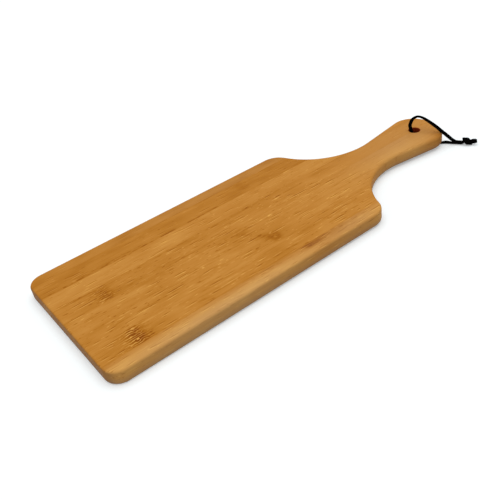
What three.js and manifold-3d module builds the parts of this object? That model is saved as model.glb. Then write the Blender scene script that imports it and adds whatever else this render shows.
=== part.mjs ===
// Bamboo serving board with a paddle handle and a black hanging lace.
// Millimetres, +Z up, +X towards the handle. The surface that it lies on is z = 0.
// The origin is under the middle of the board. The lace runs out under the handle and props it up by its own
// thickness, so the board rests on the blade's end and on the lace.

import * as THREE from 'three';
import { mergeVertices } from 'three/addons/utils/BufferGeometryUtils.js';
import Module from 'manifold-3d';

const wasm = await Module();
wasm.setup();

// Board outline, in plan, from the blade's end (x = 0) to the handle's end
const overallLength = 400;
const bladeWidth = 142;
const bladeCornerRadius = 12.5;
const shoulderRadius = 18; // rounded shoulder of the blade
const neckRadius = 64; // hollow that runs from the shoulder into the handle
const neckWidth = 38.2;
const neckFromEnd = 78.5; // narrowest place, measured from the handle's end
const handleEndWidth = 52.9;
const handleEndRadius = 21;
const handleEndSkew = 2.3; // how much further back the end's corner at -Y lies

// Board section
const thickness = 12;
const edgeRound = 2; // rounding of the blade's top and bottom edges
const handleEdgeRound = 3.2; // and of the handle's, for the hand
const roundingRun = 36; // from the shoulder's start to the handle's full rounding

// Hanging hole
const holeDiameter = 10.6;
const holeFromEnd = 24.5;
const holeEdgeRound = 0.8;

// Lay-up of the glued strips
const stripWidth = 19.4;
const middleGlueLine = -0.1; // offset of the middle glue line from the board's centre line

// Hanging lace, a flat one, doubled and tied in one knot
const laceWidth = 3.4;
const laceThickness = 1.6;
const laceChamfer = 0.5; // cut corners of its section
const laceClearance = 0.3; // between the lace and what it touches
const floorClearance = 0.05; // between the lace and the surface
const laceHeading = -55.5; // degrees, from the board's axis, towards the knot

// Knot: both strands go once round its core, in rings that lean
const knotFromHole = 45; // hole's axis to the near face of the knot
const knotLength = 9;
const knotHeight = 3.5; // of its axis
const coreDiameter = 5.4;
const coreDraw = 0.9; // how much slimmer its ends are drawn than its middle
const ringRadius = 2.65;
const ringMiddle = 4.4; // from the near face
const ringTilt = 2.2; // how far a ring's top leans to the near face and its foot to the far one
const ringSpread = 1.2; // each ring to its side of the middle
const ringWidth = 2.7;
const ringThickness = 1.5;

// Facets
const arcSteps = 8; // half the chords of each arc of the outline
const edgeSteps = 4;
const holeSides = 32;
const loopSteps = 70;
const endSteps = 6;
const coreSides = 16;
const coreSteps = 4;
const ringSteps = 32;
const overcut = 5; // how far a cutting solid reaches past what it cuts
const nearlyNothing = 1e-6; // points of the outline closer than this are one

// Colours by eye from the photograph
const darkBamboo = 0xb0762f;
const mediumBamboo = 0xbe8438;
const lightBamboo = 0xc6924c;
const laceBlack = 0x0b0a0a;

// Tones of the strips from the far edge to the near edge; further strips take the medium tone
const stripTones = [
  darkBamboo, darkBamboo, lightBamboo, mediumBamboo,
  mediumBamboo, mediumBamboo, mediumBamboo, lightBamboo,
];

const holeX = overallLength - holeFromEnd;
const neckX = overallLength - neckFromEnd;
const degree = Math.PI / 180;
const quarterTurn = Math.PI / 2;
const halfTurn = Math.PI;

// The board leans on the lace where the lace comes out of the hole
const lean = Math.asin((laceThickness + laceClearance) / (holeX - holeDiameter / 2 - edgeRound));

function boardShape() {
  const half = bladeWidth / 2;
  const cornerRadius = Math.min(bladeCornerRadius, half);
  const endRadius = Math.min(handleEndRadius, handleEndWidth / 2);
  const neckY = neckWidth / 2 + neckRadius; // centre of the hollow

  // The shoulder's arc touches the blade's side and the hollow
  const shoulderY = half - shoulderRadius;
  const rise = neckY - shoulderY;
  const run = Math.sqrt((shoulderRadius + neckRadius) ** 2 - rise ** 2);
  const shoulderX = neckX - run;
  const ogee = Math.atan2(rise, run); // heading from the shoulder's centre to the hollow's

  // The handle's sides are the straight lines that touch the hollows and the rounded corners of the end
  const endX = overallLength - endRadius;
  const endY = handleEndWidth / 2 - endRadius;
  const reach = neckRadius + endRadius;
  const span = new THREE.Vector2(endX - neckX, endY - neckY);
  const flare = Math.atan2(span.y, span.x) + Math.asin(reach / span.length());
  const skewSpan = new THREE.Vector2(endX - handleEndSkew - neckX, endY - neckY);
  const skewFlare = Math.atan2(skewSpan.y, skewSpan.x) + Math.asin(reach / skewSpan.length());
  const endTurn = -Math.atan2(handleEndSkew, 2 * endY);

  const shape = new THREE.Shape();
  shape.absarc(cornerRadius, cornerRadius - half, cornerRadius, halfTurn, halfTurn + quarterTurn, false);
  shape.absarc(shoulderX, -shoulderY, shoulderRadius, -quarterTurn, -ogee, false);
  shape.absarc(neckX, -neckY, neckRadius, halfTurn - ogee, quarterTurn - skewFlare, true);
  shape.absarc(endX - handleEndSkew, -endY, endRadius, -quarterTurn - skewFlare, endTurn, false);
  shape.absarc(endX, endY, endRadius, endTurn, quarterTurn + flare, false);
  shape.absarc(neckX, neckY, neckRadius, flare - quarterTurn, ogee - halfTurn, true);
  shape.absarc(shoulderX, shoulderY, shoulderRadius, ogee, quarterTurn, false);
  shape.absarc(cornerRadius, half - cornerRadius, cornerRadius, quarterTurn, halfTurn, false);
  shape.closePath();
  return { shape, shoulderX };
}

// Solid through rings of points, each ring anticlockwise as seen from where the rings go to
function loft(rings, capFaces) {
  const sides = rings[0].length;
  const last = (rings.length - 1) * sides;
  const faces = [];
  for (let ring = 0; ring < last; ring += sides) {
    for (let side = 0; side < sides; side += 1) {
      const next = (side + 1) % sides;
      faces.push(ring + side, ring + next, ring + sides + next);
      faces.push(ring + side, ring + sides + next, ring + sides + side);
    }
  }
  for (const [first, second, third] of capFaces) {
    faces.push(first, third, second);
    faces.push(last + first, last + second, last + third);
  }
  const geometry = new THREE.BufferGeometry().setFromPoints(rings.flat());
  geometry.setIndex(faces);
  return geometry;
}

function solidFrom(geometry) {
  const bare = geometry.clone();
  bare.deleteAttribute('normal');
  bare.deleteAttribute('uv');
  const merged = mergeVertices(bare);
  return new wasm.Manifold(new wasm.Mesh({
    numProp: 3,
    vertProperties: new Float32Array(merged.attributes.position.array),
    triVerts: new Uint32Array(merged.index.array),
  }));
}

function geometryFrom(solid) {
  const { vertProperties, triVerts } = solid.getMesh();
  const geometry = new THREE.BufferGeometry();
  geometry.setAttribute('position', new THREE.BufferAttribute(vertProperties, 3));
  geometry.setIndex(new THREE.BufferAttribute(triVerts, 1));
  geometry.computeVertexNormals();
  return geometry;
}

// Outline points with their outward directions, and the rounding of the edges there: a soft step along
// the board
function outlinePoints() {
  const { shape, shoulderX } = boardShape();
  const drawn = shape.getPoints(arcSteps);
  const points = drawn.filter((point, index) => (
    index === 0 || point.distanceTo(drawn[index - 1]) > nearlyNothing
  ));
  points.pop();
  return points.map((point, index) => {
    const before = point.clone().sub(points[(index + points.length - 1) % points.length]).normalize();
    const after = points[(index + 1) % points.length].clone().sub(point).normalize();
    const along = before.clone().add(after).divideScalar(1 + before.dot(after));
    const outward = new THREE.Vector2(along.y, -along.x);
    const share = THREE.MathUtils.smoothstep(point.x, shoulderX, shoulderX + roundingRun);
    return { point, outward, rounding: THREE.MathUtils.lerp(edgeRound, handleEdgeRound, share) };
  });
}

// The whole board before it is told apart into strips: the outline with its edges rounded, and the hole
function boardSolid() {
  const outline = outlinePoints();
  const lower = [];
  const upper = [];
  for (let step = 0; step <= edgeSteps; step += 1) {
    const turn = (quarterTurn * step) / edgeSteps;
    const places = outline.map(({ point, outward, rounding }) => {
      const inset = rounding * (1 - Math.sin(turn));
      const height = rounding * (1 - Math.cos(turn));
      return { plan: point.clone().addScaledVector(outward, -inset), height };
    });
    lower.push(places.map(({ plan, height }) => new THREE.Vector3(plan.x, plan.y, height)));
    upper.unshift(places.map(({ plan, height }) => new THREE.Vector3(plan.x, plan.y, thickness - height)));
  }
  const cap = lower[0].map(({ x, y }) => new THREE.Vector2(x, y));
  const capFaces = THREE.ShapeUtils.triangulateShape(cap, []);
  return solidFrom(loft([...lower, ...upper], capFaces)).subtract(solidFrom(holeCutter()));
}

// The hole with its two rims eased: half of the cutter's section, turned about the hole's axis
function holeCutter() {
  const rim = holeDiameter / 2 + holeEdgeRound;
  const easing = [];
  for (let step = 0; step <= edgeSteps; step += 1) {
    const turn = (quarterTurn * step) / edgeSteps;
    easing.push([rim - holeEdgeRound * Math.sin(turn), holeEdgeRound * (1 - Math.cos(turn))]);
  }
  const lower = easing.map(([across, depth]) => new THREE.Vector2(across, depth));
  const upper = easing.map(([across, depth]) => new THREE.Vector2(across, thickness - depth)).reverse();
  const profile = [
    new THREE.Vector2(0, -overcut),
    new THREE.Vector2(rim, -overcut),
    ...lower,
    ...upper,
    new THREE.Vector2(rim, thickness + overcut),
    new THREE.Vector2(0, thickness + overcut),
  ];
  const cutter = new THREE.LatheGeometry(profile, holeSides);
  cutter.rotateX(quarterTurn);
  cutter.translate(holeX, 0, 0);
  return cutter;
}

// The part of the board between two lengths and two sides
function slice(board, fromX, toX, fromY, toY) {
  const slab = new THREE.BoxGeometry(toX - fromX, toY - fromY, thickness + 2 * overcut);
  slab.translate((fromX + toX) / 2, (fromY + toY) / 2, thickness / 2);
  return geometryFrom(board.intersect(solidFrom(slab)));
}

function bamboo(name, geometry, tone) {
  const oiled = new THREE.MeshStandardMaterial({ color: tone, roughness: 0.5, metalness: 0 });
  const mesh = new THREE.Mesh(geometry, oiled);
  mesh.name = name;
  return mesh;
}

// Glue lines at every strip's width from the middle one, and the blade's two sides
function glueLines() {
  const half = bladeWidth / 2;
  const first = Math.floor((-half - middleGlueLine) / stripWidth) + 1;
  const last = Math.ceil((half - middleGlueLine) / stripWidth) - 1;
  const lines = [-half - overcut];
  for (let count = first; count <= last; count += 1) {
    lines.push(middleGlueLine + count * stripWidth);
  }
  lines.push(half + overcut);
  return lines.reverse();
}

// Strips that lie outside the neck are cut through by it, and leave a sliver on the handle's edge
function strips() {
  const board = boardSolid();
  const lines = glueLines();
  const meshes = [];
  for (let index = 0; index < lines.length - 1; index += 1) {
    const farY = lines[index];
    const nearY = lines[index + 1];
    const name = `bamboo_strip_${index + 1}`;
    const tone = stripTones[index] ?? mediumBamboo;
    const innerEdge = farY * nearY > 0 ? Math.min(Math.abs(farY), Math.abs(nearY)) : 0;
    if (innerEdge < neckWidth / 2) {
      meshes.push(bamboo(name, slice(board, -overcut, overallLength + overcut, nearY, farY), tone));
    } else {
      meshes.push(bamboo(name, slice(board, -overcut, neckX, nearY, farY), tone));
      if (innerEdge < handleEndWidth / 2) {
        const edge = slice(board, neckX, overallLength + overcut, nearY, farY);
        meshes.push(bamboo(`${name}_handle_edge`, edge, tone));
      }
    }
  }
  return meshes;
}

// Section of the lace with cut corners, carried along places that each have a heading and a flat side
function ribbon(stations, width, thick) {
  const x = width / 2;
  const y = thick / 2;
  const cut = Math.min(laceChamfer, y / 2);
  const corners = [
    [-x + cut, -y], [x - cut, -y], [x, -y + cut], [x, y - cut],
    [x - cut, y], [-x + cut, y], [-x, y - cut], [-x, -y + cut],
  ];
  const rings = stations.map(({ place, heading, flat }) => {
    const across = flat.clone().cross(heading);
    return corners.map(([side, out]) => (
      place.clone().addScaledVector(across, side).addScaledVector(flat, out)
    ));
  });
  const capFaces = [];
  for (let corner = 1; corner < corners.length - 1; corner += 1) {
    capFaces.push([0, corner, corner + 1]);
  }
  return loft(rings, capFaces);
}

// A smooth line through the route's places. The flat side is turned about the line: 0 lies flat, 90 stands
// on edge.
function laceAlong(name, route, steps) {
  const places = route.map(([along, aside, up]) => new THREE.Vector3(along, aside, up));
  const line = new THREE.CatmullRomCurve3(places);
  const stations = [];
  for (let step = 0; step <= steps; step += 1) {
    const share = step / steps;
    const row = Math.min(Math.floor(share * (route.length - 1)), route.length - 2);
    const between = share * (route.length - 1) - row;
    const turn = THREE.MathUtils.lerp(route[row][3], route[row + 1][3], between) * degree;
    const heading = line.getTangent(share);
    const level = new THREE.Vector3(0, 1, 0).cross(heading).normalize();
    const flat = level.clone().multiplyScalar(Math.cos(turn));
    flat.addScaledVector(heading.clone().cross(level), Math.sin(turn));
    stations.push({ place: line.getPoint(share), heading, flat });
  }
  return blackLace(name, ribbon(stations, laceWidth, laceThickness));
}

function blackLace(name, geometry) {
  const suede = new THREE.MeshStandardMaterial({ color: laceBlack, roughness: 0.9, metalness: 0 });
  const mesh = new THREE.Mesh(geometry, suede);
  mesh.name = name;
  return mesh;
}

// Heights of the doubled lace where it lies on the surface, one strand on the other, and of the handle's top
const lowerStrand = laceThickness / 2 + floorClearance;
const upperStrand = lowerStrand + laceThickness + laceClearance;
const boardTop = thickness + laceThickness + laceClearance;
const strandEnd = knotFromHole - laceClearance;

// The loop, in the frame of the hole's axis turned towards the knot: distance along, aside and up, and the
// turn of the flat side. From the knot it climbs over the handle's end, arches into the hole and comes back
// under the board.
const loopRoute = [
  [strandEnd, -0.2, upperStrand + 0.1, 0],
  [42, -0.2, upperStrand + 0.1, 0],
  [39.4, -0.2, upperStrand + 0.7, 25],
  [37.2, -0.5, upperStrand + 1.3, 65],
  [35, -1.1, boardTop - 8.3, 80],
  [33.1, -2.2, boardTop - 6, 84],
  [30.9, -3.2, boardTop - 3.5, 85],
  [28.8, -3.8, boardTop - 1.3, 85],
  [26.5, -4, boardTop + 0.7, 85],
  [24.2, -3.8, boardTop + 2.6, 85],
  [22, -3, boardTop + 4.2, 84],
  [17.4, -1.9, boardTop + 7.3, 78],
  [12.6, -0.7, boardTop + 10.2, 68],
  [7.6, 0, boardTop + 13, 54],
  [4.9, 0, boardTop + 14, 46],
  [2.1, 0, boardTop + 14.1, 46],
  [-0.3, 0, boardTop + 12.8, 54],
  [-2.3, 0, boardTop + 10.7, 64],
  [-3.5, 0, boardTop + 7.8, 76],
  [-4.2, 0, boardTop + 4.7, 85],
  [-3.5, 0, boardTop + 1.5, 85],
  [-2.8, 0, boardTop - 1.4, 85],
  [-2.4, 0, 9.3, 80],
  [-2.3, 0, 6.2, 60],
  [-1.8, 0, 3.6, 25],
  [-0.4, 0.1, 1.8, 0],
  [2, 0.2, 1, 0],
  [4.5, 0.2, lowerStrand, 0],
  [14, 0.2, lowerStrand, 0],
  [25, 0.2, lowerStrand + 0.1, 0],
  [27.5, 0.5, lowerStrand + 0.4, 8],
  [30, 0.7, lowerStrand + 0.6, 20],
  [33.7, 0.9, lowerStrand + 0.2, 5],
  [37.4, 0.8, lowerStrand, 0],
  [42, 0.8, lowerStrand, 0],
  [strandEnd, 0.6, lowerStrand + 0.2, 0],
];

// One strand's wrap: a turn of lace round the core that leans and starts and ends inside it
function knotRing(side) {
  const stations = [];
  for (let step = 0; step <= ringSteps; step += 1) {
    const angle = (-40 + (350 * step) / ringSteps) * degree;
    const aside = Math.cos(angle);
    const rise = Math.sin(angle);
    const along = knotFromHole + ringMiddle + ringSpread * side - ringTilt * rise;
    const place = new THREE.Vector3(along, ringRadius * aside, knotHeight + ringRadius * rise);
    const heading = new THREE.Vector3(-ringTilt * aside, -ringRadius * rise, ringRadius * aside).normalize();
    stations.push({ place, heading, flat: new THREE.Vector3(0, aside, rise) });
  }
  return solidFrom(ribbon(stations, ringWidth, ringThickness));
}

// The tied knot: a core with bowed sides and the two wraps, as one solid
function knot() {
  const middle = coreDiameter / 2;
  const profile = [new THREE.Vector2(0, 0)];
  for (let step = 0; step <= coreSteps; step += 1) {
    const along = step / coreSteps;
    profile.push(new THREE.Vector2(middle - coreDraw * (2 * along - 1) ** 2, knotLength * along));
  }
  profile.push(new THREE.Vector2(0, knotLength));
  const core = new THREE.LatheGeometry(profile, coreSides);
  core.rotateZ(-quarterTurn);
  core.translate(knotFromHole, 0, knotHeight);
  const tied = solidFrom(core).add(knotRing(1)).add(knotRing(-1));
  return blackLace('lace_knot', geometryFrom(tied));
}

// A cut end leaves the knot on edge, at one side of its axis, and rises a little
function laceEnd(name, { length, aside, spread, rise, turn }) {
  const from = knotFromHole + knotLength + 2 * laceClearance;
  const route = [
    [from, aside, knotHeight, 180 + turn],
    [from + length * 0.5, aside + spread * 0.4, knotHeight + rise * 0.3, 180 + turn],
    [from + length, aside + spread, knotHeight + rise, 180 + turn],
  ];
  return laceAlong(name, route, endSteps);
}

const restingBoard = new THREE.Group();
restingBoard.add(...strips());
restingBoard.rotation.y = -lean;
restingBoard.position.set(
  (thickness * Math.sin(lean) - overallLength * Math.cos(lean)) / 2,
  0,
  -edgeRound * Math.sin(lean),
);

const lace = new THREE.Group();
lace.add(
  laceAlong('hanging_lace', loopRoute, loopSteps),
  knot(),
  laceEnd('lace_end_upper', { length: 3.4, aside: -0.9, spread: -0.2, rise: 1.2, turn: 65 }),
  laceEnd('lace_end_lower', { length: 2.9, aside: 1.4, spread: 0.3, rise: 0.2, turn: 60 }),
);
lace.rotation.z = laceHeading * degree;
lace.position.x = restingBoard.position.x + holeX * Math.cos(lean) - (thickness / 2) * Math.sin(lean);

const servingBoard = new THREE.Group();
servingBoard.add(restingBoard, lace);

export default servingBoard;
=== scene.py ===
# Bamboo serving board with a paddle handle and a black hanging lace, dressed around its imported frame.
# Sizes in the dictionaries are millimetres and degrees. Meshes are in metres, in the frame's own axes:
# +X towards the handle, +Y across, +Z up, and the surface that the board lies on at z = 0.

import math

import bmesh
import bpy
import numpy as np
from mathutils import Matrix, Quaternion, Vector


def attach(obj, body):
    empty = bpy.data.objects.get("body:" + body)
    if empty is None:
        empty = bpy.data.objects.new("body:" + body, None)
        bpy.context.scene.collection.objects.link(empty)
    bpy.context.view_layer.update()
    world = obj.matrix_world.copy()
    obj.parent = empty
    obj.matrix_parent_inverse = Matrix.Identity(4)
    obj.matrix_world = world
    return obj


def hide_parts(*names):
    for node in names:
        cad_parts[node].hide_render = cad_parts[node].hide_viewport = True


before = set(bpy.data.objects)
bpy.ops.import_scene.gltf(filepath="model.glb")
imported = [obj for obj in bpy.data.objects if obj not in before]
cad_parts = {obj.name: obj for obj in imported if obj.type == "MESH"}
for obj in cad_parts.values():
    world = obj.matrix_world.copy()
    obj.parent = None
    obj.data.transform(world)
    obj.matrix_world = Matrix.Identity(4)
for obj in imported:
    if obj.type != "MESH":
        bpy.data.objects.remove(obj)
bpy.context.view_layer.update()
mm = 0.001
tiny = 1e-6  # millimetres that count as nothing
print("frame loaded:", len(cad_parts), "nodes")


# Camera at the photograph's viewing angle

photoCamera = {
    "aim": (-43.66, -16.62, 0.0),  # the point of the floor in the middle of the picture
    "distance": 528.32,
    "heading": 56.959,  # from +X, the way that it looks
    "lookDown": 36.053,
    "roll": -8.935,
    "lens": 46.847,
    "sensor": 36.0,
    "nearest": 10.0,  # nothing closer to it is drawn
}


def placeCamera(settings):
    heading = math.radians(settings["heading"])
    lookDown = math.radians(settings["lookDown"])
    level = math.cos(lookDown)
    forward = Vector((math.cos(heading) * level, math.sin(heading) * level, -math.sin(lookDown)))
    lens = bpy.data.cameras.new("photoCamera")
    lens.sensor_width = settings["sensor"]
    lens.lens = settings["lens"]
    lens.clip_start = settings["nearest"] * mm
    camera = bpy.data.objects.new("photoCamera", lens)
    bpy.context.scene.collection.objects.link(camera)
    camera.location = (Vector(settings["aim"]) - forward * settings["distance"]) * mm
    camera.rotation_mode = "QUATERNION"
    roll = Quaternion((0, 0, 1), math.radians(settings["roll"]))
    camera.rotation_quaternion = forward.to_track_quat("-Z", "Y") @ roll
    bpy.context.scene.camera = camera


placeCamera(photoCamera)
print("camera placed")


# Board sizes, and how it rests: the lace runs out under the handle and props it up by its own thickness

board = {
    "length": 400.0,
    "bladeWidth": 142.0,
    "cornerRadius": 12.5,
    "shoulderRadius": 18.0,
    "neckRadius": 64.0,
    "neckWidth": 38.2,
    "neckFromEnd": 78.5,
    "endWidth": 52.9,
    "endRadius": 21.0,
    "endSkew": 2.3,  # how much further back the end's near corner lies
    "thickness": 12.0,
    "edgeRound": 2.0,
    "handleEdgeRound": 3.2,  # the handle's edges are rounded more, for the hand
    "roundingRun": 36.0,  # from the shoulder's start to the full rounding
    "holeDiameter": 10.6,
    "holeFromEnd": 24.5,
    "holeEase": 0.8,
    "stripWidth": 19.4,
    "middleGlueLine": -0.1,
    "arcPoints": 28,
    "edgePoints": 9,
    "holePoints": 72,
    "flatMargin": 0.6,  # flat ring beside each rounding, so that the roundings shade clean
    "sharpAngle": 35.0,  # a fold of more than this is shaded as an edge
    "cutTolerance": 1e-5,
    "beyondEdge": 1.0,  # how far outside the board the outermost cuts lie
}

laceSizes = {
    "width": 3.4,
    "thickness": 1.6,
    "clearance": 0.3,
    "floorClearance": 0.05,
    "heading": -55.5,  # from the board's axis, towards the knot
    "knotFromHole": 45.0,
    "knotLength": 9.0,
    "squareness": 3.2,  # 2 is an oval section, more is squarer
    "cutSlant": 0.3,
    "sectionPoints": 20,
    "spanPoints": 24,  # from one point of the route to the next
    "stepLength": 0.35,
    "sharpAngle": 50.0,
}

holeX = board["length"] - board["holeFromEnd"]
neckX = board["length"] - board["neckFromEnd"]
propHeight = laceSizes["thickness"] + laceSizes["clearance"]
lean = math.asin(propHeight / (holeX - board["holeDiameter"] / 2 - board["edgeRound"]))
# The box is centred along the board, and the low edge touches the floor
boardPlace = Vector((
    (board["thickness"] * math.sin(lean) - board["length"] * math.cos(lean)) / 2,
    0.0,
    -board["edgeRound"] * math.sin(lean),
))
boardTurn = Matrix.Rotation(-lean, 4, "Y")


# Meshes from grids

# Quads of a grid of rows by columns of points; a closed direction joins its last line to its first
def gridQuads(rows, columns, rowsClosed=False, columnsClosed=False):
    row = np.arange(rows if rowsClosed else rows - 1)[:, None]
    column = np.arange(columns if columnsClosed else columns - 1)[None, :]
    nextRow = (row + 1) % rows
    nextColumn = (column + 1) % columns
    corners = (row * columns + column, nextRow * columns + column,
               nextRow * columns + nextColumn, row * columns + nextColumn)
    return np.stack(np.broadcast_arrays(*corners), axis=-1).reshape(-1, 4)


def newPiece(name, mesh):
    piece = bpy.data.objects.new(name, mesh)
    bpy.context.scene.collection.objects.link(piece)
    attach(piece, "root")
    return piece


# Shader nodes: a wire is a socket, and arithmetic on wires adds Math nodes

class Wire:
    def __init__(self, tree, socket=None):
        self.tree = tree
        self.socket = socket

    # a node: its settings first, then values or wires for its sockets; give picks the output
    def node(self, kind, settings=None, sockets=None, give=0):
        made = self.tree.nodes.new(kind)
        for name, value in (settings or {}).items():
            if name == "stops":
                self.fillRamp(made.color_ramp, value)
            else:
                setattr(made, name, value)
        for name, value in (sockets or {}).items():
            if isinstance(value, Wire):
                self.tree.links.new(value.socket, made.inputs[name])
            else:
                made.inputs[name].default_value = value
        return Wire(self.tree, made.outputs[give] if made.outputs else None)

    def fillRamp(self, ramp, stops):
        while len(ramp.elements) < len(stops):
            ramp.elements.new(1.0)
        for element, (position, colour) in zip(ramp.elements, stops):
            element.position = position
            element.color = colour

    def out(self, name):
        return Wire(self.tree, self.socket.node.outputs[name])

    def maths(self, operation, *values):
        return self.node("ShaderNodeMath", {"operation": operation}, dict(enumerate(values)))

    def __add__(self, other):
        return self.maths("ADD", self, other)

    def __radd__(self, other):
        return self.maths("ADD", other, self)

    def __sub__(self, other):
        return self.maths("SUBTRACT", self, other)

    def __rsub__(self, other):
        return self.maths("SUBTRACT", other, self)

    def __mul__(self, other):
        return self.maths("MULTIPLY", self, other)

    def __rmul__(self, other):
        return self.maths("MULTIPLY", other, self)

    def __truediv__(self, other):
        return self.maths("DIVIDE", self, other)

    def __rtruediv__(self, other):
        return self.maths("DIVIDE", other, self)

    def __pow__(self, other):
        return self.maths("POWER", self, other)

    def __rpow__(self, other):
        return self.maths("POWER", other, self)

    # 0 below low, 1 above high and a soft step between; high may be the smaller one
    def step(self, low, high):
        sockets = {"Value": self, "From Min": low, "From Max": high, "To Min": 0.0, "To Max": 1.0}
        return self.node("ShaderNodeMapRange", {"interpolation_type": "SMOOTHSTEP"}, sockets)

    # bell of height 1 about a middle, with its half width at about a third of its height
    def bell(self, middle, halfWidth):
        away = (self - middle) / halfWidth
        return self.maths("EXPONENT", away * away * -1.0)

    # this share of the way from one colour to another
    def mixed(self, first, second):
        return self.node("ShaderNodeMix", {"data_type": "RGBA"}, {0: self, 6: first, 7: second}, give=2)


def newFinish(name):
    material = bpy.data.materials.new(name)
    material.use_nodes = True
    material.node_tree.nodes.clear()
    return material, Wire(material.node_tree)


# Linear light for a colour socket, from sRGB levels of 0 to 255
def linear(red, green, blue):
    parts = np.array([red, green, blue]) / 255.0
    low = parts / 12.92
    high = ((parts + 0.055) / 1.055) ** 2.4
    return tuple(float(part) for part in np.where(parts <= 0.04045, low, high)) + (1.0,)


# Hanging lace: one flat lace from cut end to cut end, its two strands tied together in an overhand knot.
# Its frame is the hole's axis turned towards the knot: distance along, aside and up.

lowerStrand = laceSizes["thickness"] / 2 + laceSizes["floorClearance"]
upperStrand = lowerStrand + laceSizes["thickness"] + laceSizes["clearance"]
boardTop = board["thickness"] + propHeight
strandEnd = laceSizes["knotFromHole"] - laceSizes["clearance"]

# The loop from the knot over the handle's end, down through the hole and back under the board, and the
# turn of the flat side about the route in degrees: 0 lies flat, 90 stands on edge
loopRoute = [
    (strandEnd, -0.2, upperStrand + 0.1, 0),
    (42.0, -0.2, upperStrand + 0.1, 0),
    (39.4, -0.2, upperStrand + 0.7, 25),
    (37.2, -0.5, upperStrand + 1.3, 65),
    (35.0, -1.1, boardTop - 8.3, 80),
    (33.1, -2.2, boardTop - 6.0, 84),
    (30.9, -3.2, boardTop - 3.5, 85),
    (28.8, -3.8, boardTop - 1.3, 85),
    (26.5, -4.0, boardTop + 0.7, 85),
    (24.2, -3.8, boardTop + 2.6, 85),
    (22.0, -3.0, boardTop + 4.2, 84),
    (17.4, -1.9, boardTop + 7.3, 78),
    (12.6, -0.7, boardTop + 10.2, 68),
    (7.6, 0.0, boardTop + 13.0, 54),
    (4.9, 0.0, boardTop + 14.0, 46),
    (2.1, 0.0, boardTop + 14.1, 46),
    (-0.3, 0.0, boardTop + 12.8, 54),
    (-2.3, 0.0, boardTop + 10.7, 64),
    (-3.5, 0.0, boardTop + 7.8, 76),
    (-4.2, 0.0, boardTop + 4.7, 85),
    (-3.5, 0.0, boardTop + 1.5, 85),
    (-2.8, 0.0, boardTop - 1.4, 85),
    (-2.4, 0.0, 9.3, 80),
    (-2.3, 0.0, 6.2, 60),
    (-1.8, 0.0, 3.6, 25),
    (-0.4, 0.1, 1.8, 0),
    (2.0, 0.2, 1.0, 0),
    (4.5, 0.2, lowerStrand, 0),
    (14.0, 0.2, lowerStrand, 0),
    (25.0, 0.2, lowerStrand + 0.1, 0),
    (27.5, 0.5, lowerStrand + 0.4, 8),
    (30.0, 0.7, lowerStrand + 0.6, 20),
    (33.7, 0.9, lowerStrand + 0.2, 5),
    (37.4, 0.8, lowerStrand, 0),
    (42.0, 0.8, lowerStrand, 0),
    (strandEnd, 0.6, lowerStrand + 0.2, 0),
]

knotSizes = {
    "axisHeight": 3.5,
    "ringRadius": 2.65,
    "ringMiddle": 4.4,  # from the knot's near face
    "ringTilt": 2.2,  # how far its top leans to the near face and its foot to the far one
    "ringSpread": 1.2,  # each strand to its side of the middle
    "ringTurn": (-40.0, 310.0),
    "ringPoints": 15,
    "ringSection": (2.7, 1.5),
    "coreSection": (1.7, 1.3),
    "coreSpread": 0.7,  # each strand above or below the axis
    "backSpread": 0.5,  # and apart where they come out at the back
    "tailSection": (3.2, 1.6),  # where a cut end leaves the core
    "tailAside": 0.6,  # share of its place aside there
    "tailBend": (0.6, 0.4, 0.3),  # shares of its length, spread and rise at its bend
}

# Cut ends: length beyond the knot, place and spread to the side, rise, and the turn of the flat side
laceTails = {
    "front": {"length": 4.0, "aside": -0.9, "spread": -0.2, "rise": 1.2, "turn": 65.0},
    "back": {"length": 3.5, "aside": 1.4, "spread": 0.3, "rise": 0.2, "turn": 60.0},
}


# One strand through the knot, from where it comes in to its cut end. It runs through the core, comes out
# at the back, goes over the top and down across the front in a ring that leans, and leaves through the
# core. Each row holds the place, the flat side's direction and the section's width and thickness. The
# points before and after the ring are listed one by one.
# Ring: along = middle - tilt * sin(angle), aside = radius * cos(angle), up = axis + radius * sin(angle).
def knotStrand(side, tail):
    knot = knotSizes
    near = laceSizes["knotFromHole"]
    far = near + laceSizes["knotLength"]
    axis = knot["axisHeight"]
    narrow = knot["coreSection"]
    wide = (laceSizes["width"], laceSizes["thickness"])
    up = (0.0, 0.0, 1.0)
    core = axis + knot["coreSpread"] * side
    rows = [
        ((near + 2.2, 0.0, core), up, narrow),
        ((near + 4.6, 0.4, core), up, narrow),
        ((near + 6.4 + knot["backSpread"] * side, 1.3, core - 0.8), (0.0, 0.7, -0.7), narrow),
    ]
    for angle in np.radians(np.linspace(*knot["ringTurn"], knot["ringPoints"])):
        aside = math.cos(angle)
        rise = math.sin(angle)
        along = near + knot["ringMiddle"] - knot["ringTilt"] * rise + knot["ringSpread"] * side
        place = (along, knot["ringRadius"] * aside, axis + knot["ringRadius"] * rise)
        rows.append((place, (0.0, aside, rise), knot["ringSection"]))
    turned = (0.0, -math.sin(math.radians(tail["turn"])), math.cos(math.radians(tail["turn"])))
    long, apart, high = knot["tailBend"]
    bend = (
        far + tail["length"] * long,
        tail["aside"] + tail["spread"] * apart,
        axis + tail["rise"] * high,
    )
    rows += [
        ((near + 6.4, 0.3, axis - 0.9), (0.0, -0.6, -0.8), narrow),
        ((near + 7.8, tail["aside"] * knot["tailAside"], axis - 0.5), turned, knot["tailSection"]),
        ((far + 0.6, tail["aside"], axis), turned, wide),
        (bend, turned, wide),
        ((far + tail["length"], tail["aside"] + tail["spread"], axis + tail["rise"]), turned, wide),
    ]
    return rows


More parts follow.
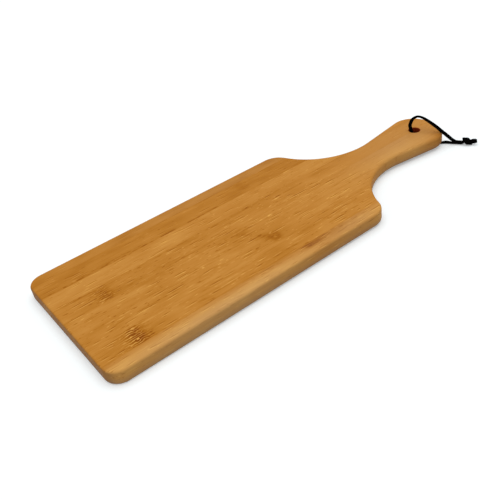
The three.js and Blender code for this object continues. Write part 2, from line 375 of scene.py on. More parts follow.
# Flat side of the loop: square to the route in its upright plane, turned about the route
def loopRows():
    places = np.array([row[:3] for row in loopRoute])
    turns = np.radians([row[3] for row in loopRoute])
    heading = np.gradient(places, axis=0)
    heading /= np.linalg.norm(heading, axis=1)[:, None]
    aside = np.cross((0.0, 1.0, 0.0), heading)
    aside /= np.linalg.norm(aside, axis=1)[:, None]
    flat = aside * np.cos(turns)[:, None] + np.cross(heading, aside) * np.sin(turns)[:, None]
    size = (laceSizes["width"], laceSizes["thickness"])
    return [(tuple(place), tuple(side), size) for place, side in zip(places, flat)]


# Smooth line through points. Its knots are the roots of their distances, so close points don't overshoot.
def lineThrough(points, perSpan):
    ends = np.vstack([2 * points[0] - points[1], points, 2 * points[-1] - points[-2]])
    gaps = np.linalg.norm(np.diff(ends[:, :3], axis=0), axis=1) ** 0.5
    knots = np.concatenate([[0.0], np.cumsum(np.maximum(gaps, tiny))])
    t0, t1, t2, t3 = (knots[i:len(knots) - 3 + i, None, None] for i in range(4))
    p0, p1, p2, p3 = (ends[i:len(ends) - 3 + i, None, :] for i in range(4))
    t = t1 + (t2 - t1) * np.linspace(0.0, 1.0, perSpan, endpoint=False)[None, :, None]
    a1 = (t1 - t) / (t1 - t0) * p0 + (t - t0) / (t1 - t0) * p1
    a2 = (t2 - t) / (t2 - t1) * p1 + (t - t1) / (t2 - t1) * p2
    a3 = (t3 - t) / (t3 - t2) * p2 + (t - t2) / (t3 - t2) * p3
    b1 = (t2 - t) / (t2 - t0) * a1 + (t - t0) / (t2 - t0) * a2
    b2 = (t3 - t) / (t3 - t1) * a2 + (t - t1) / (t3 - t1) * a3
    line = (t2 - t) / (t2 - t1) * b1 + (t - t1) / (t2 - t1) * b2
    return np.vstack([line.reshape(-1, points.shape[1]), points[-1]])


# The same line in even steps, each column taken at its distance along the line, and the line's length
def spreadEvenly(line, stepLength):
    travelled = np.concatenate([[0.0], np.cumsum(np.linalg.norm(np.diff(line[:, :3], axis=0), axis=1))])
    count = int(round(travelled[-1] / stepLength)) + 1
    even = np.linspace(0.0, travelled[-1], count)
    return np.stack([np.interp(even, travelled, column) for column in line.T], axis=1), travelled[-1]


# Whole route: one strand from its cut end back through the knot, the loop, and the other strand out
def laceRows():
    first = knotStrand(1.0, laceTails["front"])
    second = knotStrand(-1.0, laceTails["back"])
    rows = first[::-1] + loopRows() + second
    return np.array([place + tuple(side) + size for place, side, size in rows])


# Flat lace: a rounded oblong section carried along the route, its width and thickness changing with it.
# Section: across = width/2 * cos(t)^(2/n), through = thickness/2 * sin(t)^(2/n), n the squareness.
def laceMesh():
    smooth = lineThrough(laceRows(), laceSizes["spanPoints"])
    line, length = spreadEvenly(smooth, laceSizes["stepLength"])
    places = line[:, :3]
    heading = np.gradient(places, axis=0)
    heading /= np.linalg.norm(heading, axis=1)[:, None]
    flat = line[:, 3:6]
    flat = flat - heading * np.sum(flat * heading, axis=1)[:, None]  # square to the route
    flat /= np.linalg.norm(flat, axis=1)[:, None]
    aside = np.cross(flat, heading)
    t = np.linspace(0.0, 2 * np.pi, laceSizes["sectionPoints"], endpoint=False)
    power = 2.0 / laceSizes["squareness"]
    across = np.sign(np.cos(t)) * np.abs(np.cos(t)) ** power
    through = np.sign(np.sin(t)) * np.abs(np.sin(t)) ** power
    width = line[:, 6, None, None] / 2
    thickness = line[:, 7, None, None] / 2
    rings = places[:, None, :] + width * across[None, :, None] * aside[:, None, :]
    rings = rings + thickness * through[None, :, None] * flat[:, None, :]
    slant = laceSizes["cutSlant"] * width * across[None, :, None]  # the ends are cut a little askew
    rings[0] += slant[0] * heading[0]
    rings[-1] -= slant[-1] * heading[-1]
    # from the hole's axis, turned towards the knot, to the frame
    turn = Matrix.Rotation(math.radians(laceSizes["heading"]), 3, "Z")
    hole = boardTurn.to_3x3() @ Vector((holeX, 0.0, board["thickness"] / 2)) + boardPlace
    toFrame = np.array(turn).T
    origin = np.array((hole.x, 0.0, 0.0))
    points = (rings.reshape(-1, 3) @ toFrame + origin) * mm
    path = (places @ toFrame + origin) * mm
    stations = len(places)
    sides = laceSizes["sectionPoints"]
    quads = gridQuads(stations, sides, columnsClosed=True)
    ends = [list(range(sides)), list(range(stations * sides - 1, (stations - 1) * sides - 1, -1))]
    mesh = bpy.data.meshes.new("hangingLace")
    mesh.from_pydata(points, [], [list(quad) for quad in quads[:, ::-1]] + ends)
    mesh.validate()
    mesh.shade_smooth()
    mesh.set_sharp_from_angle(angle=math.radians(laceSizes["sharpAngle"]))
    return mesh, path, length


laceFinishSettings = {
    "nap": linear(3, 2, 2),
    "worn": linear(11, 10, 10),
    "wornEdge": (0.5, 0.75),  # of the nap's noise, from not worn to fully worn
    "napSize": 0.35,
    "napDetail": 3.0,
    "napRoughness": 0.6,
    "napDepth": 0.06,
    "napStrength": 0.5,
    "roughness": 0.92,
    "specular": 0.03,
}


def laceFinish(settings):
    material, wire = newFinish("blackSuede")
    place = wire.node("ShaderNodeTexCoord", give="Object")
    nap = wire.node("ShaderNodeTexNoise", None, {
        "Vector": place, "Scale": 1.0 / (settings["napSize"] * mm), "Detail": settings["napDetail"],
        "Roughness": settings["napRoughness"]})
    colour = nap.step(*settings["wornEdge"]).mixed(settings["nap"], settings["worn"])
    bump = wire.node("ShaderNodeBump", None, {
        "Height": nap, "Strength": settings["napStrength"], "Distance": settings["napDepth"] * mm})
    shader = wire.node("ShaderNodeBsdfPrincipled", None, {
        "Base Color": colour, "Roughness": settings["roughness"],
        "Specular IOR Level": settings["specular"], "Normal": bump})
    wire.node("ShaderNodeOutputMaterial", None, {"Surface": shader})
    return material


laceMeshMade, lacePath, laceLength = laceMesh()
laceMeshMade.materials.append(laceFinish(laceFinishSettings))
lace = newPiece("black_lace_tied", laceMeshMade)
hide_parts("hanging_lace", "lace_knot", "lace_end_upper", "lace_end_lower")
laceLength * mm
print("lace tied:", round(laceLength, 1), "mm")


# Board: the outline with rounded edges, the hole, and the cut into its glued strips

# Outline points and outward normals, anticlockwise, and the edge's rounding at each of them.
# Each arc is centre + radius * (cos, sin), and straight sides join one arc's end to the next one's start.
# The far half mirrors the near half, but for the end's corner.
def boardOutline():
    half = board["bladeWidth"] / 2
    neckY = board["neckWidth"] / 2 + board["neckRadius"]
    shoulderY = half - board["shoulderRadius"]
    rise = neckY - shoulderY
    run = math.sqrt((board["shoulderRadius"] + board["neckRadius"]) ** 2 - rise ** 2)
    ogee = math.atan2(rise, run)  # the shoulder and the hollow meet on the line between their centres
    endX = board["length"] - board["endRadius"]
    endY = board["endWidth"] / 2 - board["endRadius"]
    endTurn = math.atan2(board["endSkew"], 2 * endY)
    quarter = math.pi / 2
    corner = board["cornerRadius"]

    def halfOutline(skew, lastAngle):
        span = (endX - skew - neckX, endY - neckY)
        # slope of the straight side that touches both the hollow and the end's corner
        flare = math.atan2(span[1], span[0]) + math.asin(
            (board["neckRadius"] + board["endRadius"]) / math.hypot(*span))
        arcs = [  # centre, radius, start, end, and 1 where the arc bulges or -1 where it is a hollow
            ((corner, corner - half), corner, 2 * quarter, 3 * quarter, 1),
            ((neckX - run, -shoulderY), board["shoulderRadius"], -quarter, -ogee, 1),
            ((neckX, -neckY), board["neckRadius"], 2 * quarter - ogee, quarter - flare, -1),
            ((endX - skew, -endY), board["endRadius"], -quarter - flare, lastAngle, 1),
        ]
        points = []
        normals = []
        for centre, radius, start, end, bulge in arcs:
            turn = np.linspace(start, end, board["arcPoints"])
            ray = np.stack([np.cos(turn), np.sin(turn)], axis=1)
            points.append(np.array(centre) + radius * ray)
            normals.append(bulge * ray)
        points = np.concatenate(points)
        normals = np.concatenate(normals)
        gaps = np.linalg.norm(np.diff(points, axis=0), axis=1)
        apart = np.concatenate([[True], gaps > tiny])  # the shoulder's arc ends where the hollow's starts
        return points[apart], normals[apart]

    mirror = np.array((1.0, -1.0))
    nearPoints, nearNormals = halfOutline(board["endSkew"], -endTurn)
    farPoints, farNormals = halfOutline(0.0, endTurn)
    points = np.concatenate([nearPoints, farPoints[::-1] * mirror])
    normals = np.concatenate([nearNormals, farNormals[::-1] * mirror])
    return points, normals, edgeRounding(points, neckX - run)


# Wall with rounded edges: outline - normal * inset in plan. From the underside up, over a quarter turn t,
# inset = rounding * (1 - sin t) and height = rounding * (1 - cos t), and the same from the top down.
def wallGrid(points, normals, rounding):
    turn = np.linspace(0.0, np.pi / 2, board["edgePoints"])
    rounding = rounding[:, None]
    flat = rounding + board["flatMargin"]
    inset = np.concatenate([flat, rounding * (1.0 - np.sin(turn)), rounding * 0.0], axis=1)
    height = np.concatenate([rounding * 0.0, rounding * (1.0 - np.cos(turn)), flat], axis=1)
    inset = np.concatenate([inset, inset[:, ::-1]], axis=1)
    height = np.concatenate([height, board["thickness"] - height[:, ::-1]], axis=1)
    plan = points[:, None, :] - normals[:, None, :] * inset[:, :, None]
    return np.concatenate([plan, height[:, :, None]], axis=2)


# Rounding along the outline: a soft step in x from the blade's to the handle's
def edgeRounding(points, shoulderX):
    share = np.clip((points[:, 0] - shoulderX) / board["roundingRun"], 0.0, 1.0)
    share = share * share * (3.0 - 2.0 * share)
    return board["edgeRound"] + (board["handleEdgeRound"] - board["edgeRound"]) * share


# Whole board: the outline's wall and the hole's wall, with flat faces filled in between their rims
def wholeBoard():
    points, normals, rounding = boardOutline()
    outer = wallGrid(points, normals, rounding)
    turn = np.linspace(0.0, -2 * np.pi, board["holePoints"], endpoint=False)
    ray = np.stack([np.cos(turn), np.sin(turn)], axis=1)
    rim = ray * board["holeDiameter"] / 2 + np.array((holeX, 0.0))
    inner = wallGrid(rim, -ray, np.full(len(rim), board["holeEase"]))
    mesh = bpy.data.meshes.new("wholeBoard")
    quads = np.concatenate([
        gridQuads(outer.shape[0], outer.shape[1], rowsClosed=True),
        gridQuads(inner.shape[0], inner.shape[1], rowsClosed=True) + outer.shape[0] * outer.shape[1],
    ])
    mesh.from_pydata(np.concatenate([outer.reshape(-1, 3), inner.reshape(-1, 3)]), [], quads.tolist())
    whole = bmesh.new()
    whole.from_mesh(mesh)
    bpy.data.meshes.remove(mesh)
    rims = [edge for edge in whole.edges if edge.is_boundary]
    middle = board["thickness"] / 2
    for face in (1, -1):
        ring = [edge for edge in rims if (edge.verts[0].co.z - middle) * face > 0]
        bmesh.ops.triangle_fill(whole, use_beauty=True, edges=ring)
    bmesh.ops.recalc_face_normals(whole, faces=whole.faces[:])
    return whole


# Cuts a piece at a plane, drops the side that the direction points to, and closes the cut
def cutAway(piece, place, direction):
    every = piece.verts[:] + piece.edges[:] + piece.faces[:]
    cut = bmesh.ops.bisect_plane(piece, geom=every, dist=board["cutTolerance"], plane_co=place,
                                 plane_no=direction, clear_outer=True)
    edges = [part for part in cut["geom_cut"] if isinstance(part, bmesh.types.BMEdge)]
    if edges:
        bmesh.ops.holes_fill(piece, edges=edges, sides=0)


# Strip between two glue lines. Where the neck parts it, handleSide says which of its two parts is meant.
def cutStrip(whole, name, farY, nearY, handleSide):
    piece = whole.copy()
    cutAway(piece, (0, farY, 0), (0, 1, 0))
    cutAway(piece, (0, nearY, 0), (0, -1, 0))
    if handleSide is not None:
        cutAway(piece, (neckX, 0, 0), (-1 if handleSide else 1, 0, 0))
    bmesh.ops.recalc_face_normals(piece, faces=piece.faces[:])
    mesh = bpy.data.meshes.new(name)
    piece.to_mesh(mesh)
    piece.free()
    mesh.transform(Matrix.Scale(mm, 4) @ Matrix.Translation(boardPlace) @ boardTurn)
    mesh.shade_smooth()
    mesh.set_sharp_from_angle(angle=math.radians(board["sharpAngle"]))
    return mesh


# Bamboo: tone 0 is the brown of a fibre bundle and 1 the palest straw.
# Layers of grain are given by how long and wide their marks are, their seed and how finely they break up.
# Edges and reaches go from where something begins to where it is full.

bamboo = {
    "tones": [
        (0.0, linear(138, 72, 3)),
        (0.25, linear(168, 103, 20)),
        (0.42, linear(184, 121, 41)),
        (0.52, linear(192, 129, 51)),
        (0.62, linear(199, 138, 61)),
        (0.76, linear(209, 150, 71)),
        (1.0, linear(228, 172, 84)),
    ],
    "roughness": 0.52,
    "roughnessSpread": 0.25,  # with the fibres
    "specular": 0.04,
    "seedStep": 3.1,  # from strip to strip
    "noiseRoughness": 0.55,
    "bands": (75.0, 4.6, 0.0, 2.0),
    "bandDepth": 0.31,
    "mottle": (26.0, 11.0, 5.0, 1.0),
    "mottleDepth": 0.36,
    "fibres": (20.0, 0.8, 11.0, 2.0),
    "fibreDepth": 0.20,
    "dashes": (13.0, 0.9, 23.0, 0.0),
    "dashEdge": (0.18, 0.30),
    "darkDash": 0.38,
    "paleDash": 0.32,
    "paleBack": 1.5,  # a pale dash lies beside each dark one, and this far back
    "flecks": (5.0, 1.0, 29.0, 0.0),
    "fleckEdge": (0.22, 0.32),
    "fleckDepth": 0.32,
    "veins": (60.0, 1.2, 17.0, 1.0),
    "veinEdge": (0.08, 0.26),
    "veinDepth": 0.12,
    "handleCalm": 0.55,  # the handle's grain is sanded smoother
    "handleReach": (255.0, 305.0),  # along the board
    "borderWaver": (34.0, 7.0, 43.0, 1.0),
    "borderSway": 7.0,
    "glueBreaks": (9.0, 50.0, 61.0, 1.0),
    "glueEdge": (-0.05, 0.15),
    "glueWidth": 0.45,
    "glueDepth": 0.12,
    "endFacing": (0.25, 0.85),  # square of how far a face is turned to the board's ends
    "endDots": (40.0, 0.9, 83.0, 1.0),
    "endDotDepth": 0.35,
    "endDarkerAndShaded": 0.20,
    "endGreyAndShaded": linear(138, 116, 84),  # greyer on the board's ends: partly the end grain, partly painted shade
    "endGreyAndShadedShare": 0.35,
    "fadedAndHighlight": linear(190, 160, 120),  # paler, greyer wood where the oil has worn off, also used for a painted highlight along the near top edge
    "lowWallShade": linear(118, 105, 106),  # painted shade: the foot of the walls is greyer and darker
    "lowWallShadeShare": 0.28,
    "lowWallShadeReach": (7.0, 1.5),  # heights
    "holeShade": linear(146, 52, 18),  # painted shade, dark red-brown, on the wall of the drilled hole
    "holeShadeReach": (0.7, 0.1),  # reach of the painted shade, outside the hole's wall
    "fibreRelief": 0.6,
    "dashRelief": 0.5,
    "reliefStrength": 0.35,
    "grainHeight": 0.05,
}

# Strips from the far edge to the near edge. Figure and dashes say how strong bands and small marks are.
# Borders: a tone that comes in softly from one place across to another, along a wavering line.
# Washes: soft patches, where, how long and wide, and their tone; the dark ones at the handle's near end
# corner are a painted shadow of the lace.
# Fades: the same, with the share of worn wood instead of a tone; the one along the near strip's top edge
# is a painted highlight.
# Streaks: broken lines at y, from x to x, and their tone.
# Knuckles are the culm's joints: where, how long, how wide across, how far the ends bow along the board,
# how dark, and how strong the pale flecks are.
# Swirls are joints seen end on: where, how far out and how dark.
strips = [
    {"tone": 0.42, "figure": 0.6, "dashes": 0.4, "slot": "bamboo_dark",
     "washesAndShadows": [((190, 60), (30, 5), -0.06), ((40, 66), (35, 5), 0.07)],
     "fadesAndHighlights": [((190, 64), (110, 12), 0.10)]},
    {"tone": 0.41, "figure": 0.6, "dashes": 0.6, "slot": "bamboo_dark",
     "washesAndShadows": [((105, 43), (45, 7), 0.05)],
     "streaks": [(39.6, 5, 172, -0.34), (41.5, 30, 90, -0.20)],
     "knuckles": [{"at": (200, 50), "size": (5, 7), "bow": 2, "dark": 0.08, "flecks": 0.0}]},
    {"tone": 0.60, "figure": 0.8, "dashes": 0.75, "slot": "bamboo_light",
     "borders": [(25.0, 19.0, -0.05), (35.5, 38.5, -0.05)],
     "washesAndShadows": [((222, 28), (45, 12), -0.06)],
     "streaks": [(37.6, 200, 290, 0.16)]},
    {"tone": 0.51, "dashes": 1.0, "slot": "bamboo_medium",
     "borders": [(13.5, 18.5, -0.07)],
     "washesAndShadows": [((350, 8), (48, 14), 0.05), ((175, 14), (45, 6), -0.05), ((100, 4), (16, 5), 0.06)],
     "fadesAndHighlights": [((345, 0), (52, 40), 0.10)],
     "streaks": [(18.2, 8, 35, -0.16), (17.8, 72, 185, -0.18), (5.0, 58, 112, 0.20),
                 (3.6, 56, 120, -0.14), (2.2, 195, 285, 0.16), (1.0, 200, 262, -0.16)],
     "knuckles": [{"at": (39, 6.4), "size": (5.8, 10.5), "bow": -2, "dark": 0.29, "flecks": 0.46}]},
    {"tone": 0.51, "dashes": 1.0, "slot": "bamboo_medium",
     # the dark wash at (383, -23) is a painted shadow of the lace at the handle's near end corner
     "washesAndShadows": [((338, -17), (46, 11), 0.23), ((245, -8), (55, 10), 0.06), ((383, -23), (7, 7), -0.32)],
     "fadesAndHighlights": [((345, 0), (52, 40), 0.22)],
     "streaks": [(-17.0, 105, 140, 0.20), (-9.0, 5, 22, -0.18), (-5.5, 60, 230, 0.16),
                 (-6.7, 90, 240, -0.18), (-13.6, 140, 262, -0.18), (-12.5, 150, 245, 0.14)],
     "knuckles": [{"at": (155, -8), "size": (6, 6), "bow": 2, "dark": 0.12, "flecks": 0.0}]},
    {"tone": 0.53, "dashes": 1.0, "slot": "bamboo_medium",
     # the dark washes at (368, -26) and (383, -23) are a painted shadow of the lace at the handle's near
     # end corner
     "washesAndShadows": [((340, -23), (50, 9), 0.22), ((183, -33), (8, 5), -0.05), ((181, -24), (9, 6), -0.07),
                ((368, -26), (16, 4), -0.16), ((383, -23), (7, 7), -0.32), ((110, -34), (18, 5), 0.06)],
     "fadesAndHighlights": [((345, 0), (52, 40), 0.22)],
     "streaks": [(-23.5, 82, 98, 0.20), (-22.5, 20, 46, 0.18), (-22.0, 152, 172, -0.24),
                 (-25.0, 158, 176, -0.18), (-28.5, 28, 120, -0.16), (-33.4, 85, 150, 0.18),
                 (-34.8, 95, 160, -0.16), (-27.5, 195, 275, 0.16), (-36.5, 190, 262, -0.16)],
     "knuckles": [{"at": (166, -26), "size": (3.6, 6), "bow": -3, "dark": 0.13, "flecks": 0.08}],
     "swirls": [((171.6, -31.6), (5.5, 6.0), 0.28)]},
    {"tone": 0.52, "dashes": 1.0, "slot": "bamboo_medium",
     "washesAndShadows": [((248, -54), (42, 6), 0.08), ((22, -43), (18, 6), -0.05)],
     "streaks": [(-51.0, 72, 185, 0.18), (-52.4, 76, 180, -0.16), (-50.8, 205, 255, -0.16),
                 (-41.0, 40, 62, 0.18), (-44.5, 90, 170, -0.16), (-47.0, 110, 240, 0.16),
                 (-43.0, 180, 255, -0.14)],
     "knuckles": [{"at": (33, -48.8), "size": (7.2, 11), "bow": 2, "dark": 0.40, "flecks": 0.80}]},
    {"tone": 0.53, "dashes": 0.9, "slot": "bamboo_light",
     "borders": [(-58.0, -67.0, 0.24)],
     "washesAndShadows": [((208, -66), (36, 9), -0.20), ((187, -61), (9.5, 3.0), -0.30),
                ((181, -61.5), (4.2, 3.0), -0.24), ((189, -66), (8, 1.6), 0.20),
                ((75, -61), (38, 4), 0.07)],
     "fadesAndHighlights": [((100, -67), (130, 8), 0.16), ((226, -66), (30, 10), 0.16),
               # this fade along the near top edge is a painted highlight
               ((85, -71), (80, 6.5), 0.22)],
     "streaks": [(-57.8, 10, 36, -0.16), (-59.6, 196, 240, 0.20), (-61.4, 200, 246, -0.22),
                 (-63.6, 192, 240, 0.20), (-66.0, 200, 236, -0.20), (-64.5, 96, 150, 0.14),
                 (-61.5, 110, 164, -0.14)],
     "knuckles": [{"at": (190, -66), "size": (6, 4), "bow": 0, "dark": 0.14, "flecks": 0.20}]},
]


# Noise drawn out along the board, about 0
def grain(place, layer, seed):
    long, wide, ownSeed, detail = layer
    drawn = place.node("ShaderNodeVectorMath", {"operation": "MULTIPLY"},
                       {0: place, 1: (1.0 / long, 1.0 / wide, 1.0 / wide)})
    noise = place.node("ShaderNodeTexNoise", {"noise_dimensions": "4D"}, {
        "Vector": drawn, "W": seed + ownSeed, "Scale": 1.0, "Detail": detail,
        "Roughness": bamboo["noiseRoughness"]})
    return noise - 0.5


# Soft patch: a bell along the board times a bell across it
def patch(along, across, spot, size):
    return along.bell(spot[0], size[0]) * across.bell(spot[1], size[1])


knuckleLooks = {
    "ragged": (5.0, 1.6, 50.0, 2.0),
    "ends": (1.7, 0.5),  # square of the distance across, as a share of the width
    "darkBreak": 2.4,  # how much the ragged grain breaks the dark up
    "haloBack": 1.5,
    "haloLength": 2.6,  # times the knuckle's
    "haloShare": 0.3,
    "waver": (4.5, 3.0, 53.7, 1.0),
    "fleckSway": 4.5,
    "fleckPitch": 2.3,
    "fleckEdge": (0.45, 0.95),  # of the wave that draws them
    "fleckBack": 2.0,
    "fleckLength": 1.1,  # times the knuckle's
    "fleckBreak": 2.0,
}


# Knuckle: a bowed dark band across the strip, broken by pale wavy flecks that run along it
def knuckle(place, along, across, mark, seed):
    looks = knuckleLooks
    x, y = mark["at"]
    long, wide = mark["size"]
    side = (across - y) / wide
    bowed = along - side * side * mark["bow"]
    window = (side * side).step(*looks["ends"])
    ragged = grain(place, looks["ragged"], seed)
    halo = patch(along, across, (x - looks["haloBack"], y), (long * looks["haloLength"], wide))
    band = bowed.bell(x, long) * window * (1.0 + ragged * looks["darkBreak"])
    dark = (band + halo * looks["haloShare"]) * mark["dark"]
    waver = across + grain(place, looks["waver"], seed) * looks["fleckSway"]
    wave = waver * (2 * math.pi / looks["fleckPitch"])
    fleck = wave.maths("SINE", wave).step(*looks["fleckEdge"])
    fleck = fleck * bowed.bell(x - looks["fleckBack"], long * looks["fleckLength"]) * window
    return fleck * (1.0 + ragged * looks["fleckBreak"]) * mark["flecks"] - dark


swirlLooks = {
    "ragged": (5.0, 2.6, 57.0, 2.0),
    "raggedReach": 1.2,
    "eyeRadius": 0.24,  # radii are shares of the swirl's own
    "eyeShare": 0.15,
    "ringRadius": 0.5,
    "ringWidth": 0.62,
    "ringBreak": 2.6,
}


# Swirl: a ragged dark patch with a small pale eye
def swirl(place, along, across, mark, seed):
    looks = swirlLooks
    (x, y), (long, wide), depth = mark
    right = (along - x) / long
    up = (across - y) / wide
    ragged = grain(place, looks["ragged"], seed)
    out = (right * right + up * up) ** 0.5 + ragged * looks["raggedReach"]
    eye = out.bell(0.0, looks["eyeRadius"]) * depth * looks["eyeShare"]
    ring = out.bell(looks["ringRadius"], looks["ringWidth"]) * (1.0 + ragged * looks["ringBreak"])
    return eye - ring * depth


streakLooks = {
    "halfWidth": 0.6,
    "waver": (22.0, 60.0, 71.0, 1.0),
    "sway": 2.0,
    "breaks": (7.0, 60.0, 76.3, 1.0),
    "breakEdge": (-0.08, 0.12),
    "fadeIn": 4.0,
    "fadeOut": 6.0,
    "seedStep": 1.7,  # from streak to streak
}


# Streak: a thin line along the board that wavers, comes and goes, and fades out at its ends
def streak(place, along, across, line, seed):
    looks = streakLooks
    y, start, end, tone = line
    waver = across + grain(place, looks["waver"], seed) * looks["sway"]
    comesAndGoes = grain(place, looks["breaks"], seed).step(*looks["breakEdge"])
    begun = along.step(start - looks["fadeIn"], start + looks["fadeIn"])
    unfinished = along.step(end + looks["fadeOut"], end - looks["fadeOut"])
    return waver.bell(y, looks["halfWidth"]) * comesAndGoes * (begun * unfinished) * tone


# Grain of a strip about its tone: bands, mottle, fibres, and small marks that peak out of their layers.
# It also gives the fibres and the dark dashes, which have a relief.
def stripGrain(place, strip, seed):
    settings = bamboo
    bands = grain(place, settings["bands"], seed)
    mottle = grain(place, settings["mottle"], seed)
    fibres = grain(place, settings["fibres"], seed)
    toPale = (settings["paleBack"], settings["dashes"][1], 0.0)
    beside = place.node("ShaderNodeVectorMath", {"operation": "ADD"}, {0: place, 1: toPale})
    darkDash = grain(place, settings["dashes"], seed).step(*settings["dashEdge"])
    paleDash = grain(beside, settings["dashes"], seed).step(*settings["dashEdge"])
    fleck = grain(place, settings["flecks"], seed)
    begins, full = settings["fleckEdge"]
    # pale where the noise peaks, dark where it dips
    fleck = fleck.step(begins, full) - fleck.step(-begins, -full)
    veins = grain(place, settings["veins"], seed).step(*settings["veinEdge"])
    lively = bands * (settings["bandDepth"] * strip.get("figure", 1.0)) + mottle * settings["mottleDepth"]
    lively = lively + fibres * settings["fibreDepth"]
    lively = lively + fleck * (settings["fleckDepth"] * strip["dashes"])
    lively = lively - veins * (settings["veinDepth"] * strip["dashes"])
    lively = lively - darkDash * (settings["darkDash"] * strip["dashes"])
    lively = lively + paleDash * (settings["paleDash"] * strip["dashes"])
    return lively, fibres, darkDash


def bambooFinish(number, strip, farY, nearY):
    settings = bamboo
    material, wire = newFinish("oiledBamboo{}".format(number))
    seed = settings["seedStep"] * number

    # the board's own axes in millimetres, with its place and lean undone
    back = Vector(boardPlace)
    back.rotate(Matrix.Rotation(lean, 3, "Y"))
    coordinates = wire.node("ShaderNodeTexCoord", give="Object")
    place = wire.node("ShaderNodeMapping", {"vector_type": "POINT"}, {
        "Vector": coordinates, "Location": -back, "Rotation": (0.0, lean, 0.0), "Scale": (1 / mm,) * 3})
    axes = wire.node("ShaderNodeSeparateXYZ", None, {0: place})
    along = axes.out("X")
    across = axes.out("Y")
    height = axes.out("Z")

    lively, fibres, darkDash = stripGrain(place, strip, seed)
    calm = along.step(*settings["handleReach"]) * settings["handleCalm"]
    tone = strip["tone"] + lively * (1.0 - calm)
    for start, end, change in strip.get("borders", ()):
        waver = across + grain(place, settings["borderWaver"], seed) * settings["borderSway"]
        tone = tone + waver.step(start, end) * change
    for spot, size, change in strip.get("washesAndShadows", ()):
        tone = tone + patch(along, across, spot, size) * change
    for count, line in enumerate(strip.get("streaks", ())):
        tone = tone + streak(place, along, across, line, seed + streakLooks["seedStep"] * count)
    for count, mark in enumerate(strip.get("knuckles", ())):
        tone = tone + knuckle(place, along, across, mark, seed + count)
    for count, mark in enumerate(strip.get("swirls", ())):
        tone = tone + swirl(place, along, across, mark, seed + count)
    broken = grain(place, settings["glueBreaks"], seed).step(*settings["glueEdge"])
    for line in (farY, nearY):
        tone = tone - across.bell(line, settings["glueWidth"]) * broken * settings["glueDepth"]

    # end grain: dotted with the cut bundles, and darker and greyer, partly for the end grain and partly
    # as painted shade on the board's ends
    facing = wire.node("ShaderNodeSeparateXYZ", None, {0: coordinates.out("Normal")}).out("X")
    endGrain = (facing * facing).step(*settings["endFacing"])
    dots = grain(place, settings["endDots"], seed)
    tone = tone + endGrain * (dots * settings["endDotDepth"] - settings["endDarkerAndShaded"])

    colour = wire.node("ShaderNodeValToRGB", {"stops": settings["tones"]}, {"Fac": tone})
    # the ends' grey is partly painted shade
    colour = (endGrain * settings["endGreyAndShadedShare"]).mixed(colour, settings["endGreyAndShaded"])
    # pale worn wood, and a painted highlight along the near top edge
    for spot, size, share in strip.get("fadesAndHighlights", ()):
        colour = (patch(along, across, spot, size) * share).mixed(colour, settings["fadedAndHighlight"])
    # painted shade: the walls turn greyer and darker towards the floor
    footShade = height.step(*settings["lowWallShadeReach"]) * settings["lowWallShadeShare"]
    colour = footShade.mixed(colour, settings["lowWallShade"])
    # painted shade inside the drilled hole
    fromAxis = along - holeX
    fromHole = (fromAxis * fromAxis + across * across) ** 0.5
    holeWall = board["holeDiameter"] / 2
    begins, full = settings["holeShadeReach"]
    colour = fromHole.step(holeWall + begins, holeWall + full).mixed(colour, settings["holeShade"])

    relief = fibres * settings["fibreRelief"] - darkDash * settings["dashRelief"]
    bump = wire.node("ShaderNodeBump", None, {
        "Height": relief, "Strength": settings["reliefStrength"],
        "Distance": settings["grainHeight"] * mm})
    shader = wire.node("ShaderNodeBsdfPrincipled", None, {
        "Base Color": colour, "Roughness": settings["roughness"] + fibres * settings["roughnessSpread"],
        "Specular IOR Level": settings["specular"], "Normal": bump})
    wire.node("ShaderNodeOutputMaterial", None, {"Surface": shader})
    return material


# The strips between their glue lines; one that the neck parts is two nodes of the frame
def glueBoard():
    whole = wholeBoard()
    half = board["bladeWidth"] / 2
    outermost = len(strips) // 2 - 1
    glue = board["middleGlueLine"] + board["stripWidth"] * np.arange(outermost, -outermost - 1, -1)
    lines = [half + board["beyondEdge"]] + list(glue) + [-half - board["beyondEdge"]]
    for index, strip in enumerate(strips):
        number = index + 1
        farY, nearY = lines[index], lines[index + 1]
        finish = bambooFinish(number, strip, farY, nearY)
        node = "bamboo_strip_{}".format(number)
        parts = {node: None}
        if node + "_handle_edge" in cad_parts:
            parts = {node: False, node + "_handle_edge": True}
        for cadNode, handleSide in parts.items():
            name = cadNode.replace("bamboo_strip", "oiled_strip")
            mesh = cutStrip(whole, name, farY, nearY, handleSide)
            mesh.materials.append(finish)
            piece = newPiece(name, mesh)
            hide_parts(cadNode)
    whole.free()


glueBoard()
print("board glued up:", len(strips), "strips")


# Studio: plain pale floor, even light from the sky and one broad soft lamp nearly overhead

studio = {
    "sky": 0.62,
    "lamp": 1.15,
    "lampFrom": (0.10, 0.05, 1.0),
    "lampSpread": 60.0,
    "floorSize": 8000.0,
    "floorGlow": (0.27, 0.27, 0.27),  # what the camera sees of the floor's own white
    "floorLit": (0.79, 0.838, 0.856),  # and what it sees lit, with the shadow, a cool tone
    "floorBounce": (0.43, 0.43, 0.43),  # what it throws back on the board
}


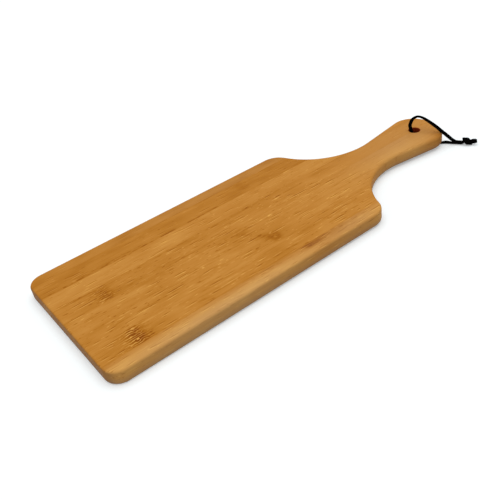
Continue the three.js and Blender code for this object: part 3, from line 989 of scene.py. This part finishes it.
# 1 for what the camera sees, straight, in a reflection or through glass
def seenRays(wire):
    path = wire.node("ShaderNodeLightPath", give="Is Camera Ray")
    seen = path.maths("MAXIMUM", path, path.out("Is Glossy Ray"))
    return seen.maths("MAXIMUM", seen, path.out("Is Transmission Ray"))


def layFloor(settings):
    size = settings["floorSize"] / 2 * mm
    mesh = bpy.data.meshes.new("floor")
    mesh.from_pydata([(-size, -size, 0), (size, -size, 0), (size, size, 0), (-size, size, 0)], [],
                     [(0, 1, 2, 3)])
    material, wire = newFinish("paleFloor")
    lit = wire.node("ShaderNodeBsdfDiffuse", None, {"Color": settings["floorLit"] + (1.0,)})
    glow = wire.node("ShaderNodeEmission", None, {
        "Color": settings["floorGlow"] + (1.0,), "Strength": 1.0})
    shown = wire.node("ShaderNodeAddShader", None, {0: lit, 1: glow})
    bounce = wire.node("ShaderNodeBsdfDiffuse", None, {"Color": settings["floorBounce"] + (1.0,)})
    shader = wire.node("ShaderNodeMixShader", None, {0: seenRays(wire), 1: bounce, 2: shown})
    wire.node("ShaderNodeOutputMaterial", None, {"Surface": shader})
    mesh.materials.append(material)
    floor = bpy.data.objects.new("floor", mesh)
    bpy.context.scene.collection.objects.link(floor)


def lightStudio(settings):
    world = bpy.data.worlds.new("studio")
    bpy.context.scene.world = world
    world.use_nodes = True
    world.node_tree.nodes.clear()
    wire = Wire(world.node_tree)
    seen = seenRays(wire)
    strength = seen * (1.0 - settings["sky"]) + settings["sky"]
    sky = wire.node("ShaderNodeBackground", None, {"Color": (1.0, 1.0, 1.0, 1.0), "Strength": strength})
    wire.node("ShaderNodeOutputWorld", None, {"Surface": sky})
    light = bpy.data.lights.new("softLamp", "SUN")
    light.energy = settings["lamp"]
    light.angle = math.radians(settings["lampSpread"])
    lamp = bpy.data.objects.new("softLamp", light)
    bpy.context.scene.collection.objects.link(lamp)
    lamp.rotation_mode = "QUATERNION"
    lamp.rotation_quaternion = (-Vector(settings["lampFrom"])).to_track_quat("-Z", "Y")


layFloor(studio)
lightStudio(studio)
bpy.context.scene.view_settings.view_transform = "Standard"
print("studio lit")
